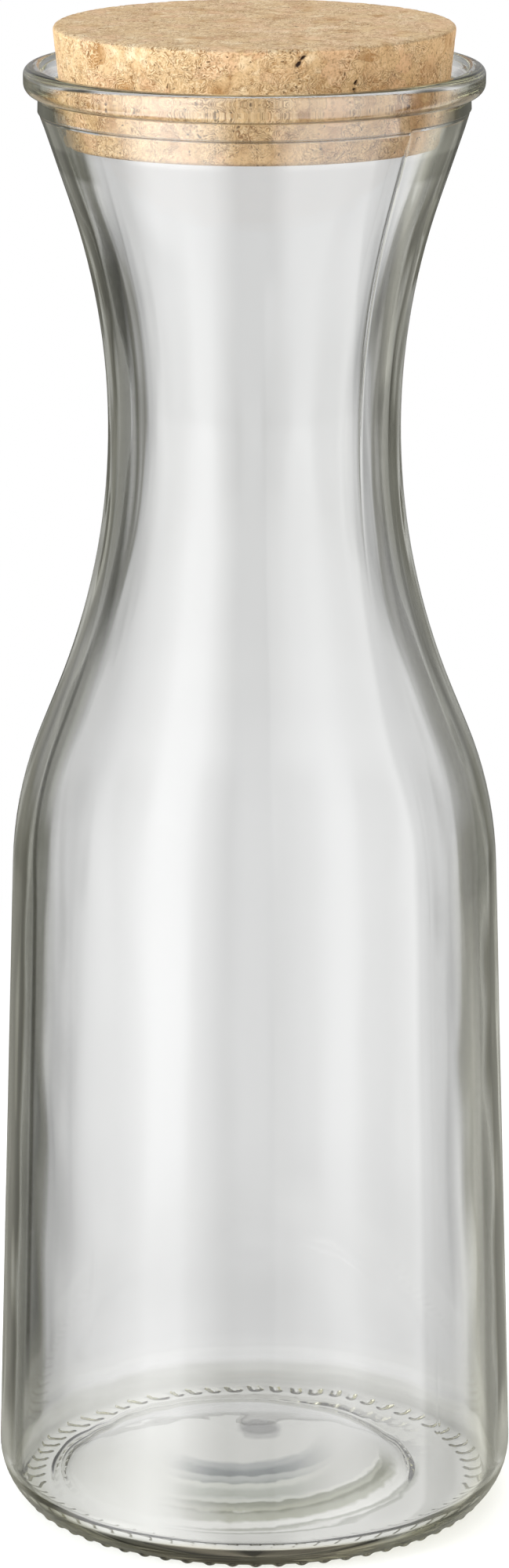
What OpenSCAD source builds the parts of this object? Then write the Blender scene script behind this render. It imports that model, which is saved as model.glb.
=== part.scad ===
// Water carafe with a tapered cork stopper.
// The glass is one piece: a knurled foot with a push-up under it, a body that leans in a
// little, a round shoulder, a waisted neck and a flared mouth with a rolled rim. The
// stopper wedges in the flare by its lower edge and lifts straight out.
// Millimetres, +Z up, origin on the table under the middle of the foot.

/* [Glass body] */
// Height of the glass from the table to the top of the rim
glass_h = 263; // [255:1:275]
// Outer radius of the body at its widest, just above the heel
body_r = 47; // [45:0.5:49]
// Angle by which the body wall leans in towards the top
body_lean = 1.8; // [1:0.1:2.5]
// Angle by which the shoulder leans in where it runs into the neck
shoulder_lean = 22.2; // [20:0.2:26]
// Radius of the shoulder's round, seen from the side
shoulder_round = 70; // [50:1:80]
// Thickness of the wall
wall = 2.8; // [2:0.1:3.4]

/* [Neck] */
// Outer radius of the neck's waist
neck_r = 25.9; // [24:0.1:28]
// Height of the rim above the neck's waist
mouth_h = 63.6; // [60:0.2:68]
// Radius of the neck's long hollow curve, seen from the side
neck_curve_r = 127; // [110:1:135]
// Thickness of the glass at the waist
neck_wall = 3.6; // [3:0.1:4.2]
// Angle by which the mouth's flare leans out
flare_lean = 18.7; // [17:0.1:20]

/* [Rim] */
// Height of the collar and the rolled rim together
finish_h = 7.8; // [7:0.1:9]
// Height of the rolled rim by itself
rim_h = 5; // [4.4:0.1:5.6]
// How far the rolled rim stands out from the collar
rim_overhang = 2.5; // [1.8:0.1:3]
// How far the collar stands out from the flare at the mould line
collar_step = 0.1; // [0.05:0.05:0.3]

/* [Foot] */
// How far the edge of the foot lies inside the body wall
heel_cut = 4.5; // [3.8:0.1:5.2]
// Angle between the table and the slanting side of the heel
heel_slope = 45; // [40:1:50]
// Radius of the round from the body wall into the slanting side of the heel
heel_round = 13.9; // [8:0.1:16]
// Radius of the round from the slanting side of the heel into the foot
foot_round = 2.4; // [1:0.1:3]
// Radius inside, where the wall rounds into the floor
floor_round = 4; // [3:0.5:8]
// Thickness of the floor
floor_wall = 2.6; // [2.2:0.1:3.6]
// Width of the foot, from its outer edge to the edge of the push-up
foot_w = 10.1; // [9:0.1:12]
// Height of the step at the edge of the push-up
pushup_step = 0.6; // [0.3:0.1:1.2]
// Rise of the push-up from its edge to its middle
pushup_rise = 6.8; // [4:0.1:8]

/* [Knurls] */
// Number of knurls round the foot
knurl_count = 64; // [40:2:72]
// How far the middles of the knurls lie inside the outer edge of the foot
knurl_inset = 1.8; // [1.4:0.1:2.6]
// Radius of the round back of a knurl
knurl_r = 1.6; // [1.3:0.1:1.7]
// Length of a knurl between its round ends
knurl_len = 1.8; // [1:0.1:2.4]
// How far a knurl stands down from the foot
knurl_h = 0.45; // [0.3:0.05:0.6]
// Angle by which a knurl is turned from the line to the middle
knurl_turn = 14; // [0:1:25]

/* [Stopper] */
// Radius of the stopper's lower face
stopper_low_r = 33.1; // [31:0.1:34]
// Radius of the stopper's upper face
stopper_top_r = 35.3; // [34.4:0.1:36]
// Height of the stopper
stopper_h = 19.6; // [16:0.2:24]
// Rounding of the stopper's edges
stopper_round = 0.9; // [0.4:0.1:1.2]

/* [Hidden] */
$fn = 96;

// Clearance between the stopper's lower edge and the flare that it wedges in
seat_gap = 0.25;
// Roundings of the rolled rim: its underside, its top edge and its inner edge
rim_low_round = 2.3;
rim_top_round = 1.7;
rim_in_round = 1.3;
// Width of the sloping step at the edge of the push-up
step_w = 1.1;
// Height by which the foot rises from the knurls to the push-up, and its level width
foot_rise = 0.5;
foot_level_w = 2.6;
// Depth of the flat that each knurl stands on
knurl_flat = 0.05;
// Overrun of a cut
over = 1;
// Longest straight bit of a curve, and the largest angle that it turns by
curve_seg = 6;
curve_turn = 12;

// A line is [point, angle]. These lines are the outside of the wall, and the same lines
// moved in by the wall are the inside.
body_line = [[body_r, knurl_h + 2 * heel_cut], 90 + body_lean];
heel_line = [[at_height(body_line, knurl_h) - heel_cut, knurl_h], heel_slope];
neck_middle = [neck_r + neck_curve_r, glass_h - mouth_h];
shoulder_line = [neck_middle - neck_curve_r * ray(shoulder_lean), 90 + shoulder_lean];
flare_line = [neck_middle - neck_curve_r * ray(-flare_lean), 90 - flare_lean];
body_inside = moved_in(body_line, wall);
shoulder_inside = moved_in(shoulder_line, wall);
flare_inside = moved_in(flare_line, wall);

// Half of the angle that the neck turns by, and how far its corner is cut per unit of radius
neck_half = (shoulder_lean + flare_lean) / 2;
neck_cut_share = 1 / cos(neck_half) - 1;
neck_inside_r = neck_curve_r + wall - (neck_wall - wall) / neck_cut_share;

// Heights
collar_z = glass_h - finish_h;
rim_z = glass_h - rim_h;
foot_in_z = knurl_h + foot_rise;
pushup_z = foot_in_z + pushup_step;
floor_z = pushup_z + floor_wall;

// Radii
foot_r = at_height(heel_line, knurl_h);
knurl_ring_r = foot_r - knurl_inset;
pushup_r = foot_r - foot_w;
foot_in_r = knurl_ring_r - knurl_len / 2 - foot_level_w;
dome_r = pushup_r - step_w;
collar_r = at_height(flare_line, collar_z) + collar_step;
rim_r = collar_r + rim_overhang;
mouth_r = at_height(flare_inside, glass_h);

// The middle of the round at the stopper's lower edge, measured from that face, and the
// height at which this round comes within the clearance of the flare
stopper_lean = atan((stopper_top_r - stopper_low_r) / stopper_h);
edge_r = stopper_low_r - stopper_round * (1 - sin(stopper_lean)) / cos(stopper_lean);
seat_reach = (mouth_r - edge_r) * cos(flare_lean) - stopper_round - seat_gap;
stopper_z = glass_h - stopper_round - seat_reach / sin(flare_lean);

function ray(a) = [cos(a), sin(a)];
function unit(v) = v / norm(v);
function cross2(a, b) = a[0] * b[1] - a[1] * b[0];

// The line moved by t towards the axis
function moved_in(l, t) = [l[0] + t * ray(l[1] + 90), l[1]];

// The point where two lines meet
function meet(a, b) =
    a[0] + ray(a[1]) * cross2(b[0] - a[0], ray(b[1])) / cross2(ray(a[1]), ray(b[1]));

// The radius of a line at height z, and the line at a height, for use with meet
function at_height(l, z) = meet(l, level(z))[0];
function level(z) = [[0, z], 0];

// Points of an arc about c from angle a, turning by t
function arc(c, r, a, t) =
    let (n = max(ceil(abs(t) / curve_turn), ceil(abs(t) / 360 * 2 * PI * r / curve_seg)))
    [for (i = [0 : n]) c + r * ray(a + t * i / n)];

// Points of a shallow dome from its edge at [r, z] to its middle, which is higher by rise
function dome(r, z, rise) =
    let (ball = (r * r + rise * rise) / (2 * rise), half = asin(r / ball))
    arc([0, z + rise - ball], ball, 90 - half, half);

// Half of the angle between the two sides that meet at corner i of outline k
function half_angle(k, i) =
    acos(unit(spot(k, i - 1) - spot(k, i)) * unit(spot(k, i + 1) - spot(k, i))) / 2;

// Where corner i lies, and how far from it its round starts
function spot(k, i) = [k[i][0], k[i][1]];
function is_round(k, i) = i > 0 && i < len(k) - 1 && k[i][2] > 0;
function setback(k, i) = is_round(k, i) ? k[i][2] / tan(half_angle(k, i)) : 0;

// How much of the round at corner i there is room for on the side from corner i to corner j
function room_share(k, i, j) =
    min(1, norm(spot(k, i) - spot(k, j)) / (setback(k, i) + setback(k, j)));

// Points of an open outline whose corners are given as [radius, height, rounding]
function rounded(k) =
    [for (i = [0 : len(k) - 1]) each is_round(k, i) ? corner(k, i) : [spot(k, i)]];

// Points of the round at corner i
function corner(k, i) =
    let (share = min(room_share(k, i, i - 1), room_share(k, i, i + 1)),
         r = k[i][2] * share,
         half = half_angle(k, i),
         u = unit(spot(k, i - 1) - spot(k, i)),
         v = unit(spot(k, i + 1) - spot(k, i)),
         c = spot(k, i) + unit(u + v) * r / sin(half),
         start = spot(k, i) + u * r / tan(half) - c,
         side = cross2(u, v) > 0 ? -1 : 1)
    arc(c, r, atan2(start[1], start[0]), side * (180 - 2 * half));

// Outline of half of the glass: under the foot from the edge of the push-up, up the
// outside, over the rim, down the inside and along the floor to the edge of its dome
glass_corners = [
    [dome_r, pushup_z, 0],
    [pushup_r, foot_in_z, 0],
    [foot_in_r, knurl_h, 0],
    [foot_r, knurl_h, foot_round],
    concat(meet(heel_line, body_line), heel_round),
    concat(meet(body_line, shoulder_line), shoulder_round),
    concat(meet(shoulder_line, flare_line), neck_curve_r),
    [collar_r - collar_step, collar_z, 0],
    [collar_r, collar_z, 0],
    [collar_r, rim_z, 0],
    [rim_r, rim_z, rim_low_round],
    [rim_r, glass_h, rim_top_round],
    [mouth_r, glass_h, rim_in_round],
    concat(meet(shoulder_inside, flare_inside), neck_inside_r),
    concat(meet(body_inside, shoulder_inside), shoulder_round - wall),
    [at_height(body_inside, floor_z), floor_z, floor_round],
    [dome_r, floor_z, 0],
];

// Outline of half of the stopper, from the middle of its lower face
stopper_corners = [
    [0, 0, 0],
    [stopper_low_r, 0, stopper_round],
    [stopper_top_r, stopper_h, stopper_round],
    [0, stopper_h, 0],
];

// A short bar with a round back and round ends, lying along X, its lowest side cut to a
// flat that stands on the table
module knurl() {
    middle_z = knurl_r - knurl_flat;
    difference() {
        translate([0, 0, middle_z]) {
            rotate([0, 90, 0]) cylinder(r = knurl_r, h = knurl_len, center = true);
            for (x = [-1, 1]) translate([x * knurl_len / 2, 0, 0]) sphere(r = knurl_r);
        }
        translate([0, 0, -over]) cylinder(r = knurl_len + knurl_r + over, h = over);
    }
}

// The ring of knurls that the carafe stands on
module knurls() {
    for (i = [0 : knurl_count - 1])
        rotate(360 * i / knurl_count)
            translate([knurl_ring_r, 0, 0]) rotate(knurl_turn) knurl();
}

// The glass
module carafe_glass() {
    color("gainsboro") {
        rotate_extrude()
            polygon(concat(
                rounded(glass_corners),
                dome(dome_r, floor_z, pushup_rise),
                reversed(dome(dome_r, pushup_z, pushup_rise))));
        knurls();
    }
}

function reversed(v) = [for (i = [len(v) - 1 : -1 : 0]) v[i]];

// The cork stopper
module cork_stopper() {
    color("tan") translate([0, 0, stopper_z]) rotate_extrude() polygon(rounded(stopper_corners));
}

carafe_glass();
cork_stopper();
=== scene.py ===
# Looks of a glass water carafe and its cork stopper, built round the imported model.
import math

import bmesh
import bpy
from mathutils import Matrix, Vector, noise


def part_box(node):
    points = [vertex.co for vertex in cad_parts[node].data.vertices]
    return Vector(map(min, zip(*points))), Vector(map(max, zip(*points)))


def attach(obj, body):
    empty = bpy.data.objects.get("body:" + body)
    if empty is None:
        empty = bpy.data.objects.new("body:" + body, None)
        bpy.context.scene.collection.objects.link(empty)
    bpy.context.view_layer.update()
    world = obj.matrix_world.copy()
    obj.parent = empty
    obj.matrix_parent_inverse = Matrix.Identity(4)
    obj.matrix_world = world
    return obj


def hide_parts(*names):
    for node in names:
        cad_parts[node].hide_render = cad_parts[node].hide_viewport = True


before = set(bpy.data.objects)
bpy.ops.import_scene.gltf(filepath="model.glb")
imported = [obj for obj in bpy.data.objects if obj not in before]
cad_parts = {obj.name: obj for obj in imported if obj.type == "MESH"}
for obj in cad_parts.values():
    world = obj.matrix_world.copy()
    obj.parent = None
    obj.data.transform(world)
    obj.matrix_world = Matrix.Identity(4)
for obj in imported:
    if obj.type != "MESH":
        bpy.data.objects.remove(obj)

bl_info = {
    "name": "Water carafe",
    "version": (1, 0, 0),
    "blender": (4, 5, 0),
    "location": "3D View > Sidebar > Carafe",
    "description": "Builds the glass carafe, its cork stopper and a plain studio",
    "category": "Add Mesh",
}

MM = 0.001
FULL_TURN = 2 * math.pi
GLASS_NODE = "carafe_glass"
CORK_NODE = "cork_stopper"
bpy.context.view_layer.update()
GLASS_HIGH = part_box(GLASS_NODE)[1]
CORK_LOW, CORK_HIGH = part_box(CORK_NODE)

# Small forms of the glass that its sizes don't name
FOOT_RISE = 0.5 * MM
FOOT_WIDTH = 2.6 * MM
STEP_WIDTH = 1.1 * MM
STEP_ROUND = 0.8 * MM
FLOOR_EDGE_ROUND = 5 * MM
COLLAR_LIP = 0.06 * MM
COLLAR_ROUND = 0.1 * MM
GROOVE_WIDTH = 0.5 * MM
GROOVE_DEPTH = 0.22 * MM
GROOVE_ROUND = 0.06 * MM
RIM_NECK = 0.8 * MM
RIM_FOOT_ROUND = 0.25 * MM
RIM_LOW_ROUND = 2.2 * MM
RIM_TOP_ROUND = 1.7 * MM
RIM_IN_ROUND = 1.3 * MM
KNURL_FLAT = 0.05 * MM
KNURL_BLEND = 0.12 * MM

# Density of the meshes. A seam gets extra columns, placed in shares of its half width.
TURN_STEP = math.radians(6)
ROUND_STEPS = 4
ROW_SPACING = 3 * MM
KNURL_SPACING = 0.35 * MM
KNURL_REACH = 4 * MM
DOME_ROWS = 18
SEAM_COLUMNS = -0.7, -0.35, 0.35, 0.7
CORK_TURN_STEP = math.radians(15)
CORK_ROUND_SPACING = MM
CORK_UNDER_SPACING = 3 * MM
CORK_TOP_SPACING = 0.6 * MM
CORK_SIDE_SPACING = 0.34 * MM
FLOOR_SIDES = 96
# Lengths in metres that count as nothing
SHORTEST = 1e-7
ON_AXIS = 1e-9

# Waves in the glass: share of the height, how often they change round the axis, length up
# the wall and number of the pattern
OUTER_WAVES = (1, 1.7, 45 * MM, 3), (1, 4, 25 * MM, 9)
INNER_WAVES = (
    (1, 0.9, 70 * MM, 1), (0.55, 2.2, 34 * MM, 5), (0.25, 5, 16 * MM, 8), (0.08, 12, 60 * MM, 12))
FLOOR_WAVES, FLOOR_WAVE_WIDTH, FLOOR_WAVE_LENGTH, FLOOR_WAVE_PATTERN = 0.25, 9 * MM, 12 * MM, 4
# Where the waves, the seam and the two offsets die away
COLLAR_FADE = 3 * MM
RIM_FADE = 12 * MM
SEAM_RISE = 45 * MM
HALF_REACH = 2 * MM
BAFFLE_START, BAFFLE_END = MM, 5.5 * MM

# Relief of the cork: width of a joint in shares of a granule, size and least depth of the
# pores, size of the worn patches, and the share of each in the depth
JOINT_WIDTH = 0.22
PORE_SIZE, PORE_START = 0.9 * MM, 0.3
WORN_SIZE = 2.2 * MM
JOINT_SHARE, PORE_SHARE, WORN_SHARE = 0.4, 0.8, 0.35
# Cracks of the cork's side: angle about Z, distance below the top, half length and half
# width in mm, and slant in degrees
CRACKS = (
    (-76.4, 1.5, 0.8, 0.36, 38),
    (-77.7, 2.6, 0.9, 0.5, 50),
    (-60.0, 6.2, 0.7, 0.36, 60),
    (-60.4, 7.4, 0.6, 0.36, -30),
    (-101.0, 12.2, 0.7, 0.35, 70),
    (20.0, 5.0, 1.2, 0.4, -30),
    (75.0, 9.0, 0.9, 0.45, 15),
    (140.0, 4.0, 1.1, 0.4, 50),
    (205.0, 8.0, 1.0, 0.42, -20),
)


def millimetres(value, text, high=400.0):
    """A length property, written here in millimetres and kept in metres."""
    return bpy.props.FloatProperty(
        name=text, description=text, default=value * MM, min=0.0, max=high * MM,
        precision=5, subtype="DISTANCE", unit="LENGTH")


def degrees(value, text):
    """An angle property, written here in degrees."""
    return bpy.props.FloatProperty(
        name=text, description=text, default=math.radians(value), min=-math.pi, max=math.pi,
        subtype="ANGLE", unit="ROTATION")


def plain(value, text, high=10.0):
    """A plain number."""
    return bpy.props.FloatProperty(name=text, description=text, default=value, min=0.0, max=high)


def whole(value, text, high=4000):
    """A count."""
    return bpy.props.IntProperty(name=text, description=text, default=value, min=1, max=high)


def tint(value, text):
    """A colour, as linear red, green and blue."""
    return bpy.props.FloatVectorProperty(
        name=text, description=text, default=value, size=3, min=0.0, max=1.0, subtype="COLOR")


def srgb(red, green, blue):
    """Linear colour of an sRGB colour given from 0 to 255."""
    def linear(c):
        c /= 255
        return c / 12.92 if c <= 0.04045 else ((c + 0.055) / 1.055) ** 2.4
    return linear(red), linear(green), linear(blue)


class CarafeShape(bpy.types.PropertyGroup):
    """Sizes of the glass."""
    height: millimetres(GLASS_HIGH[2] / MM, "Height of the glass")
    body_radius: millimetres(47, "Outer radius of the body above the heel")
    body_lean: degrees(1.8, "Lean of the body wall")
    shoulder_lean: degrees(22.2, "Lean of the shoulder into the neck")
    shoulder_round: millimetres(70, "Radius of the shoulder's round")
    wall: millimetres(2.8, "Thickness of the wall")
    neck_radius: millimetres(25.9, "Outer radius of the waist")
    mouth_height: millimetres(63.6, "Height of the rim above the waist")
    neck_curve: millimetres(127, "Radius of the neck's hollow curve")
    neck_wall: millimetres(3.6, "Thickness at the waist")
    flare_lean: degrees(18.7, "Lean of the flare")
    finish_height: millimetres(7.8, "Height of collar and rim")
    rim_height: millimetres(5, "Height of the rolled rim")
    rim_overhang: millimetres(2.5, "Overhang of the rolled rim")
    collar_step: millimetres(0.1, "Step of the collar")
    heel_cut: millimetres(4.5, "How far the foot's edge lies inside the wall")
    heel_slope: degrees(45, "Slope of the heel's slanting side")
    heel_round: millimetres(13.9, "Radius between the wall and the slanting side")
    foot_round: millimetres(2.4, "Radius between the slanting side and the foot")
    floor_round: millimetres(4, "Radius between wall and floor inside")
    floor_wall: millimetres(2.6, "Thickness of the floor")
    pushup_radius: millimetres(32.7, "Radius of the push-up")
    pushup_step: millimetres(0.6, "Step at the push-up's edge")
    pushup_rise: millimetres(6.8, "Rise of the push-up")
    knurl_count: whole(64, "Number of knurls")
    knurl_ring: millimetres(41, "Radius of the ring of knurls")
    knurl_back: millimetres(1.6, "Radius of a knurl's back")
    knurl_length: millimetres(1.8, "Length of a knurl")
    knurl_height: millimetres(0.45, "Height of a knurl")
    knurl_turn: degrees(14, "Turn of a knurl")


class CarafeFlow(bpy.types.PropertyGroup):
    """Marks that moulding leaves in the glass."""
    inner_wave: millimetres(0.26, "Height of the waves inside the wall")
    outer_wave: millimetres(0.035, "Height of the waves on the outside")
    seam_angle: degrees(-45, "Angle of the mould seam about Z")
    seam_height: millimetres(0.10, "Height of the mould seam on the neck")
    seam_width: millimetres(0.30, "Half width of the mould seam")
    seam_fade: millimetres(215, "Height below which the mould seam dies away")
    seam_share: plain(0.06, "Share of the seam's height that is left on the body", 1)
    half_shift: millimetres(0.55, "Offset of the mould line between the halves")
    baffle_shift: millimetres(3, "Offset of the push-up's edge to the left")
    gob_radius: millimetres(3.8, "Radius of the dimple in the floor")
    gob_place: millimetres(0.9, "Offset of the dimple to the right")
    gob_depth: millimetres(0.12, "Depth of the dimple in the floor")
    columns: whole(768, "Columns of the mesh round the axis")


class GlassLook(bpy.types.PropertyGroup):
    """Finish of the glass."""
    colour: tint((0.99, 0.99, 0.985), "Tint of the surface")
    depth_colour: tint((0.67, 0.66, 0.52), "Colour that thick glass turns to")
    depth_density: plain(24.0, "Strength of the colour in thick glass, per metre", 100)
    bend: plain(1.52, "Index of refraction", 3)
    # Colour of the painted shade line under the collar
    groove_shade: tint((0.10, 0.10, 0.085), "Tint of the line under the collar")
    turns: whole(9, "Bends after which light leaves the glass straight", 32)
    trapped: tint((0.56, 0.565, 0.60), "Share of that light which is left at each surface")
    shade: tint((0.97, 0.97, 0.965), "Light that the shadow lets through")


class CorkShape(bpy.types.PropertyGroup):
    """Sizes of the stopper's surface."""
    edge: millimetres(0.9, "Rounding of the edges")
    low_radius: millimetres(33.1, "Radius of the lower face")
    relief: millimetres(0.16, "Depth of the joints between granules")
    crack_depth: millimetres(0.8, "Depth of the cracks")
    granule: millimetres(3.6, "Size of a granule")
    columns: whole(560, "Columns of the mesh round the axis")


class CorkLook(bpy.types.PropertyGroup):
    """Colours of the cork."""
    light: tint(srgb(247, 221, 182), "Light granules")
    middle: tint(srgb(221, 186, 140), "Usual granules")
    dark: tint(srgb(186, 143, 94), "Dark granules")
    blush: tint(srgb(230, 184, 148), "Reddish granules")
    line: tint(srgb(138, 98, 56), "Lines in the granules")
    speck: tint(srgb(96, 68, 36), "Specks")
    # The cracks' own dark brown, deepened with painted shade
    hollow: tint(srgb(46, 26, 12), "Cracks")
    # Painted shade: this colour darkens and greys the upward faces of the top
    shaded: tint((0.68, 0.72, 0.77), "Tint of the sanded top")


class Studio(bpy.types.PropertyGroup):
    """Camera, floor and light."""
    pitch: degrees(14.72, "Camera's tilt below level")
    distance: millimetres(1044.1, "Camera's distance from its target", 5000)
    target_height: millimetres(133.5, "Height of the camera's target")
    lens: plain(133.34, "Focal length in mm", 400)
    floor_radius: millimetres(3000, "Radius of the floor", 9000)
    behind: plain(0.79, "Brightness of what shows through the glass")


# Outlines: a line is (point, angle), and points are (radius, height) vectors.

def ray(angle):
    return Vector((math.cos(angle), math.sin(angle)))


def moved_in(line, depth):
    """The line moved by depth towards the axis."""
    point, angle = line
    return point + depth * ray(angle + math.pi / 2), angle


def meet(a, b):
    """Where two lines meet."""
    along, across = ray(a[1]), ray(b[1])
    gap = b[0] - a[0]
    return a[0] + along * (gap.cross(across) / along.cross(across))


def at_height(line, height):
    """Radius of a line at a height."""
    return meet(line, (Vector((0, height)), 0.0)).x


def rounded(corners, turn_step, spacing):
    """Points of an outline whose corners, given as (radius, height, rounding), are rounded."""
    spots = [Vector(c[:2]) for c in corners]
    sides, cuts = [], []
    for i, corner in enumerate(corners):
        rounding = corner[2]
        if not rounding:
            sides.append(None)
            cuts.append((0.0, 0.0))
            continue
        back = (spots[i - 1] - spots[i]).normalized()
        on = (spots[i + 1] - spots[i]).normalized()
        half = back.angle(on) / 2
        sides.append((back, on))
        cuts.append((rounding / math.tan(half), half))
    points = []
    for i, corner in enumerate(corners):
        cut, half = cuts[i]
        if not cut:
            points.append(spots[i])
            continue
        back, on = sides[i]
        room = [(spots[i] - spots[j]).length / (cut + cuts[j][0]) for j in (i - 1, i + 1)]
        share = min(1.0, *room)
        radius = corner[2] * share
        middle = spots[i] + (back + on).normalized() * radius / math.sin(half)
        start = spots[i] + back * cut * share - middle
        turn = math.pi - 2 * half
        if back.cross(on) > 0:
            turn = -turn
        count = max(ROUND_STEPS, math.ceil(abs(turn) / turn_step),
                    math.ceil(abs(turn) * radius / spacing))
        first = math.atan2(start.y, start.x)
        points += [middle + radius * ray(first + turn * k / count) for k in range(count + 1)]
    return points


def dome(radius, height, rise, count):
    """Points of a shallow dome from its edge to its middle."""
    ball = (radius ** 2 + rise ** 2) / (2 * rise)
    half = math.asin(radius / ball)
    middle = Vector((0, height + rise - ball))
    return [middle + ball * ray(math.pi / 2 - half * (1 - k / count)) for k in range(count + 1)]


def spaced(points, spacing):
    """The same outline with no step longer than spacing(point)."""
    out = [points[0]]
    for a, b in zip(points, points[1:]):
        length = (b - a).length
        if length < SHORTEST:
            continue
        count = max(1, math.ceil(length / spacing((a + b) / 2)))
        out += [a.lerp(b, k / count) for k in range(1, count + 1)]
    return out


def step(low, high, value):
    """A smooth step from 0 at low to 1 at high."""
    x = min(1.0, max(0.0, (value - low) / (high - low)))
    return x * x * (3 - 2 * x)


def lathe(name, outline, angles, place):
    """A closed mesh that an outline from axis to axis sweeps; place gives each point its spot."""
    mesh = bmesh.new()
    foot = mesh.verts.new(place(outline[0], 0.0))
    rings = [[mesh.verts.new(place(p, a)) for a in angles] for p in outline[1:-1]]
    top = mesh.verts.new(place(outline[-1], 0.0))
    count = len(angles)
    for i in range(count):
        j = (i + 1) % count
        mesh.faces.new((foot, rings[0][j], rings[0][i]))
        for low, high in zip(rings, rings[1:]):
            mesh.faces.new((low[i], low[j], high[j], high[i]))
        mesh.faces.new((top, rings[-1][i], rings[-1][j]))
    bmesh.ops.recalc_face_normals(mesh, faces=mesh.faces)
    data = bpy.data.meshes.new(name)
    mesh.to_mesh(data)
    mesh.free()
    for face in data.polygons:
        face.use_smooth = True
    piece = bpy.data.objects.new(name, data)
    bpy.context.scene.collection.objects.link(piece)
    return piece


class Wire:
    """A shader socket that can be used in Python expressions, each of which adds its nodes."""

    def __init__(self, tree, socket):
        self.tree, self.socket = tree, socket

    def __add__(self, other):
        return self.tree.maths("ADD", self, other)

    def __radd__(self, other):
        return self.tree.maths("ADD", other, self)

    def __sub__(self, other):
        return self.tree.maths("SUBTRACT", self, other)

    def __rsub__(self, other):
        return self.tree.maths("SUBTRACT", other, self)

    def __mul__(self, other):
        return self.tree.maths("MULTIPLY", self, other)

    def __rmul__(self, other):
        return self.tree.maths("MULTIPLY", other, self)

    def __truediv__(self, other):
        return self.tree.maths("DIVIDE", self, other)

    def __rtruediv__(self, other):
        return self.tree.maths("DIVIDE", other, self)

    def above(self, limit):
        return self.tree.maths("GREATER_THAN", self, limit)


class Tree:
    """The node tree of a material or a world."""

    def __init__(self, owner):
        owner.use_nodes = True
        self.nodes, self.links = owner.node_tree.nodes, owner.node_tree.links
        self.nodes.clear()

    def add(self, kind, settings=None, inputs=None, output=0):
        """A node of a kind, its settings set first, then the values or links of its sockets."""
        node = self.nodes.new(kind)
        for name, value in (settings or {}).items():
            if name == "stops":
                self.stops(node.color_ramp, value)
            else:
                setattr(node, name, value)
        for key, value in (inputs or {}).items():
            if isinstance(value, Wire):
                self.links.new(value.socket, node.inputs[key])
            else:
                node.inputs[key].default_value = value
        return Wire(self, node.outputs[output])

    def stops(self, ramp, stops):
        """Gives a ramp its stops: places with a colour or a grey."""
        while len(ramp.elements) > 1:
            ramp.elements.remove(ramp.elements[-1])
        for i, (place, colour) in enumerate(stops):
            element = ramp.elements[0] if i == 0 else ramp.elements.new(place)
            element.position = place
            element.color = (*colour, 1) if isinstance(colour, tuple) else (colour,) * 3 + (1,)

    def maths(self, operation, *values):
        return self.add("ShaderNodeMath", {"operation": operation}, dict(enumerate(values)))

    def vector(self, operation, a, b=None, scale=None, output=0):
        inputs = {0: a}
        if b is not None:
            inputs[1] = b
        if scale is not None:
            inputs[3] = scale
        return self.add("ShaderNodeVectorMath", {"operation": operation}, inputs, output)

    def numbers(self, value, kind="ShaderNodeSeparateXYZ"):
        """The three numbers of a vector, or of a colour where kind says so."""
        node = self.add(kind, None, {0: value}).socket.node
        return [Wire(self, socket) for socket in node.outputs]

    def path(self, *names):
        """Outputs of the Light Path node."""
        node = self.add("ShaderNodeLightPath").socket.node
        return [Wire(self, node.outputs[name]) for name in names]

    def ramp(self, factor, stops):
        """The colour of a ramp at factor."""
        return self.add("ShaderNodeValToRGB", {"stops": stops}, {"Fac": factor})

    def level(self, factor, stops):
        """The number that a ramp of greys gives at factor."""
        return self.add("ShaderNodeRGBToBW", None, {"Color": self.ramp(factor, stops)})

    def mix(self, factor, a, b, blend="MIX"):
        """A mix of two colours."""
        colours = {"data_type": "RGBA", "blend_type": blend, "clamp_factor": True}
        fill = [c if isinstance(c, Wire) else (*c, 1) for c in (a, b)]
        return self.add("ShaderNodeMix", colours, {0: factor, 6: fill[0], 7: fill[1]}, output=2)

    def range(self, value, low, high, to_low=0.0, to_high=1.0):
        """value mapped smoothly from one range to another."""
        return self.add(
            "ShaderNodeMapRange", {"interpolation_type": "SMOOTHSTEP", "clamp": True},
            {0: value, 1: low, 2: high, 3: to_low, 4: to_high})

    def fall(self, value, low, high):
        """1 up to low, falling smoothly to 0 at high."""
        return self.range(value, low, high, 1.0, 0.0)

    def choose(self, factor, a, b):
        """Shader a where factor is 0, and b where it is 1."""
        return self.add("ShaderNodeMixShader", None, {0: factor, 1: a, 2: b})

    def end(self, surface, volume=None, kind="ShaderNodeOutputMaterial"):
        """The output node, with what goes into it."""
        node = self.nodes.new(kind)
        self.links.new(surface.socket, node.inputs["Surface"])
        if volume:
            self.links.new(volume.socket, node.inputs["Volume"])


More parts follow.
